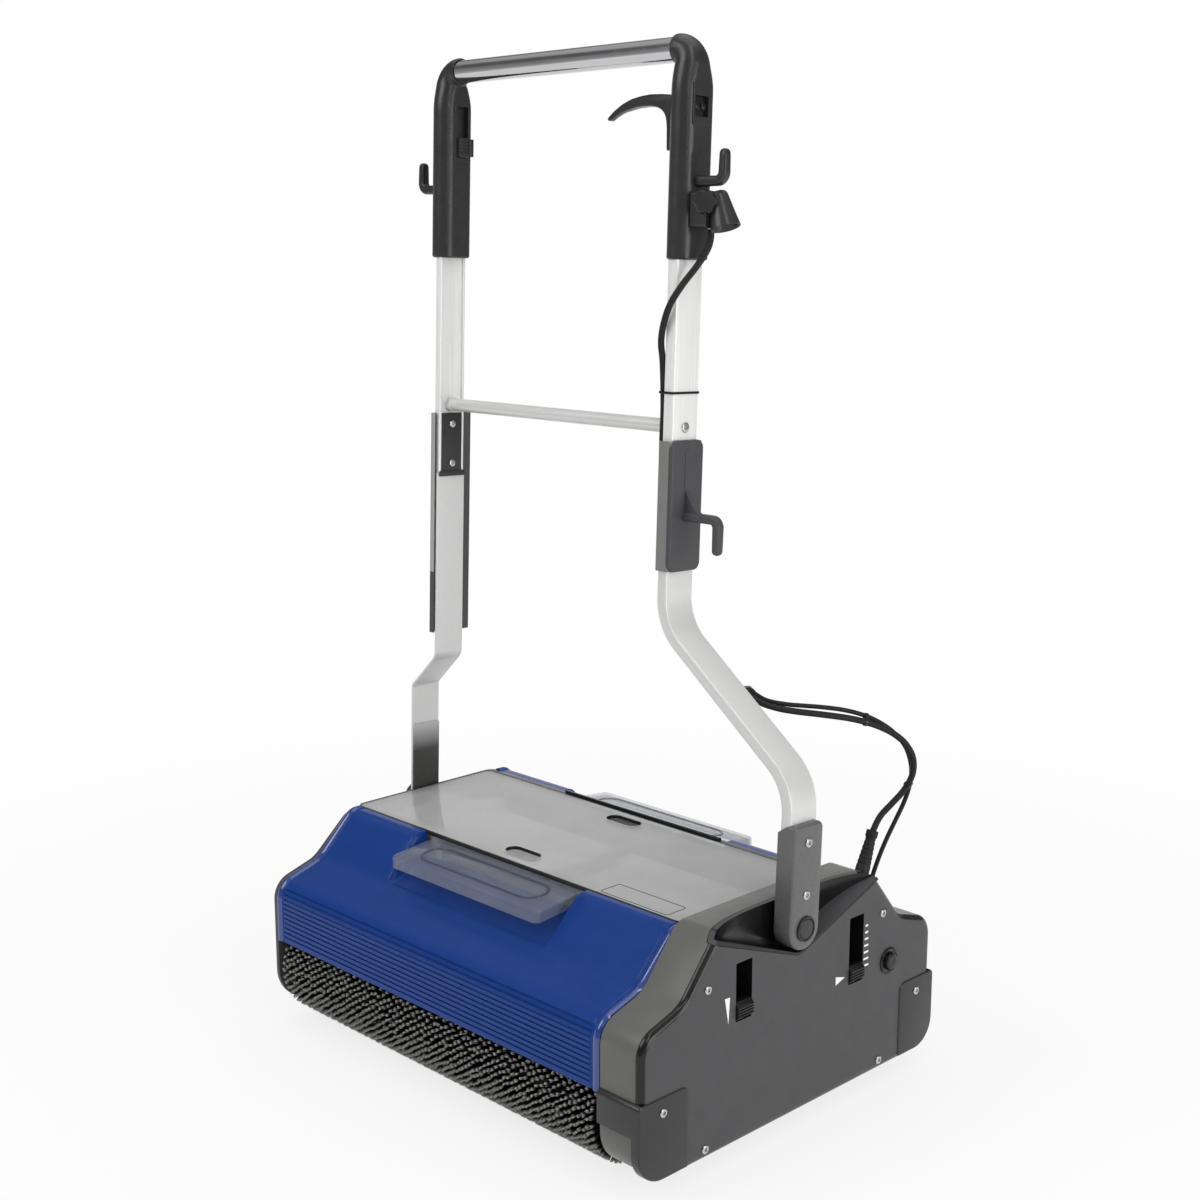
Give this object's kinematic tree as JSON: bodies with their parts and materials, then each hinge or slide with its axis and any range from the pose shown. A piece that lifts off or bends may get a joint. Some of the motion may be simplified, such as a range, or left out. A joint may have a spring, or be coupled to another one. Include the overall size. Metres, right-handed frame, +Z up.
{
  "type": "walk-behind floor scrubber",
  "caption": "Walk-behind floor scrubber with contra-rotating roller brushes, ribbed blue covers, clear tank lid, side drive and a tilting offset handle with trigger grip and cable hooks.",
  "frame": {"origin": "on the floor under the middle of the machine", "axes": "+Z up, +X along the brushes to the drive side, -Y to the front"},
  "size_m": [0.6406, 0.474, 1.1195],
  "materials": {
    "blue_plastic": "semi-gloss moulded plastic",
    "dark_plastic": "fine-grained moulded plastic",
    "grey_plastic": "satin moulded plastic",
    "black_plastic": "satin moulded plastic",
    "black_rubber": "matt",
    "bristle": "nylon bristle",
    "clear_plastic": "clear smoked plastic",
    "tank_plastic": "translucent moulded plastic",
    "aluminium": "satin anodised",
    "chrome": "polished",
    "steel": "machined"
  },
  "bodies": {
    "body": {"left_side_plate": "dark_plastic", "right_side_frame": "grey_plastic", "right_side_cover": "dark_plastic", "pivot_pocket": "black_plastic", "right_front_guard": "dark_plastic", "right_rear_guard": "dark_plastic", "front_cover": "blue_plastic", "rear_cover": "blue_plastic", "front_tank_grip": "clear_plastic", "rear_tank_grip": "clear_plastic", "recovery_tank": "tank_plastic", "clean_water_tank": "tank_plastic", "centre_chassis": "steel", "drive_motor": "steel", "front_belt": "black_rubber", "rear_belt": "black_rubber", "left_front_bearing": "black_plastic", "left_rear_bearing": "black_plastic", "cable_boot": "black_rubber", "right_pivot_pin": "black_plastic", "left_pivot_pin": "black_plastic", "lead_loop": "black_rubber", "thin_lead_loop": "black_rubber"},
    "lid": {"lid": "clear_plastic"},
    "front_brush": {"front_brush": "bristle", "front_brush_shaft": "steel"},
    "rear_brush": {"rear_brush": "bristle", "rear_brush_shaft": "steel"},
    "drive_shaft": {"drive_shaft": "steel"},
    "counter_shaft": {"counter_shaft": "steel"},
    "front_pickup": {"front_pickup_roller": "black_rubber"},
    "rear_pickup": {"rear_pickup_roller": "black_rubber"},
    "carriage": {"wheel_carriage": "steel"},
    "front_left_wheel": {"front_left_wheel": "black_rubber"},
    "front_right_wheel": {"front_right_wheel": "black_rubber"},
    "rear_left_wheel": {"rear_left_wheel": "black_rubber"},
    "rear_right_wheel": {"rear_right_wheel": "black_rubber"},
    "mop_up_lever": {"mop_up_lever": "black_plastic"},
    "transport_lever": {"transport_lever": "black_plastic"},
    "reset_button": {"reset_button": "black_plastic"},
    "handle": {"right_pivot_bracket": "dark_plastic", "left_pivot_bracket": "dark_plastic", "right_arm": "aluminium", "left_arm": "aluminium", "right_upright": "aluminium", "left_upright": "aluminium", "crossbar": "aluminium", "top_bar": "chrome", "right_grip": "black_plastic", "left_grip": "black_plastic", "right_cable_hook": "black_plastic", "left_cable_hook": "black_plastic", "inlet_block": "black_plastic", "hook_bracket": "black_plastic", "left_strip": "dark_plastic", "clamp_plate": "black_plastic", "handle_lead": "black_rubber"},
    "trigger": {"trigger": "black_plastic"},
    "slide_catch": {"slide_catch": "black_plastic"},
    "rocker": {"rocker_switch": "black_plastic"}
  },
  "joints": [
    {"name": "handle_tilt", "type": "hinge", "parent": "body", "child": "handle", "pos_m": [0, 0, 0.224], "axis": [1, 0, 0], "range_deg": [-54, 35], "deforming": ["lead_loop", "thin_lead_loop"]},
    {"name": "lid_lift", "type": "slide", "parent": "body", "child": "lid", "axis": [0, 0, 1], "range_m": [0, 0.06]},
    {"name": "front_brush_spin", "type": "hinge", "parent": "body", "child": "front_brush", "pos_m": [0, -0.17, 0.068], "axis": [1, 0, 0], "continuous": true},
    {"name": "rear_brush_spin", "type": "hinge", "parent": "body", "child": "rear_brush", "pos_m": [0, 0.17, 0.068], "axis": [1, 0, 0], "continuous": true},
    {"name": "drive_shaft_spin", "type": "hinge", "parent": "body", "child": "drive_shaft", "pos_m": [0, -0.022, 0.08], "axis": [1, 0, 0], "continuous": true},
    {"name": "counter_shaft_spin", "type": "hinge", "parent": "body", "child": "counter_shaft", "pos_m": [0, 0.022, 0.08], "axis": [1, 0, 0], "continuous": true},
    {"name": "front_pickup_spin", "type": "hinge", "parent": "body", "child": "front_pickup", "pos_m": [0, -0.087, 0.078], "axis": [1, 0, 0], "continuous": true},
    {"name": "rear_pickup_spin", "type": "hinge", "parent": "body", "child": "rear_pickup", "pos_m": [0, 0.087, 0.078], "axis": [1, 0, 0], "continuous": true},
    {"name": "carriage_slide", "type": "slide", "parent": "body", "child": "carriage", "axis": [0, 0, 1], "range_m": [0, 0.012]},
    {"name": "transport_lever_slide", "type": "slide", "parent": "body", "child": "transport_lever", "axis": [0, 0, 1], "range_m": [0, 0.054]},
    {"name": "mop_up_lever_slide", "type": "slide", "parent": "body", "child": "mop_up_lever", "axis": [0, 0, 1], "range_m": [0, 0.041]},
    {"name": "reset_press", "type": "slide", "parent": "body", "child": "reset_button", "axis": [-1, 0, 0], "range_m": [0, 0.003], "stiffness_N_per_m": 400},
    {"name": "trigger_pull", "type": "hinge", "parent": "handle", "child": "trigger", "pos_m": [0.1065, 0.0289, 1.0515], "axis": [0, 0.9994, -0.0349], "range_deg": [0, 15], "stiffness_Nm_per_rad": 0.5, "springref_deg": -11.46},
    {"name": "catch_slide", "type": "slide", "parent": "handle", "child": "slide_catch", "axis": [0, 0.0349, 0.9994], "range_m": [0, 0.034]},
    {"name": "rocker_rock", "type": "hinge", "parent": "handle", "child": "rocker", "pos_m": [0.131, 0.02869, 1.0455], "axis": [0, 0.0349, 0.9994], "range_deg": [-6, 6]},
    {"name": "front_left_wheel_spin", "type": "hinge", "parent": "carriage", "child": "front_left_wheel", "pos_m": [-0.2215, -0.075, 0.022], "axis": [1, 0, 0], "continuous": true},
    {"name": "front_right_wheel_spin", "type": "hinge", "parent": "carriage", "child": "front_right_wheel", "pos_m": [0.2215, -0.075, 0.022], "axis": [1, 0, 0], "continuous": true},
    {"name": "rear_left_wheel_spin", "type": "hinge", "parent": "carriage", "child": "rear_left_wheel", "pos_m": [-0.2215, 0.075, 0.022], "axis": [1, 0, 0], "continuous": true},
    {"name": "rear_right_wheel_spin", "type": "hinge", "parent": "carriage", "child": "rear_right_wheel", "pos_m": [0.2215, 0.075, 0.022], "axis": [1, 0, 0], "continuous": true}
  ],
  "couplings": [
    {"joint": "rear_brush_spin", "follows": "front_brush_spin", "ratio": -1},
    {"joint": "drive_shaft_spin", "follows": "front_brush_spin", "ratio": 1.875},
    {"joint": "counter_shaft_spin", "follows": "front_brush_spin", "ratio": -1.875},
    {"joint": "front_pickup_spin", "follows": "front_brush_spin", "ratio": -3.5556},
    {"joint": "rear_pickup_spin", "follows": "front_brush_spin", "ratio": 3.5556},
    {"joint": "transport_lever_slide", "follows": "carriage_slide", "ratio": 4.5}
  ]
}
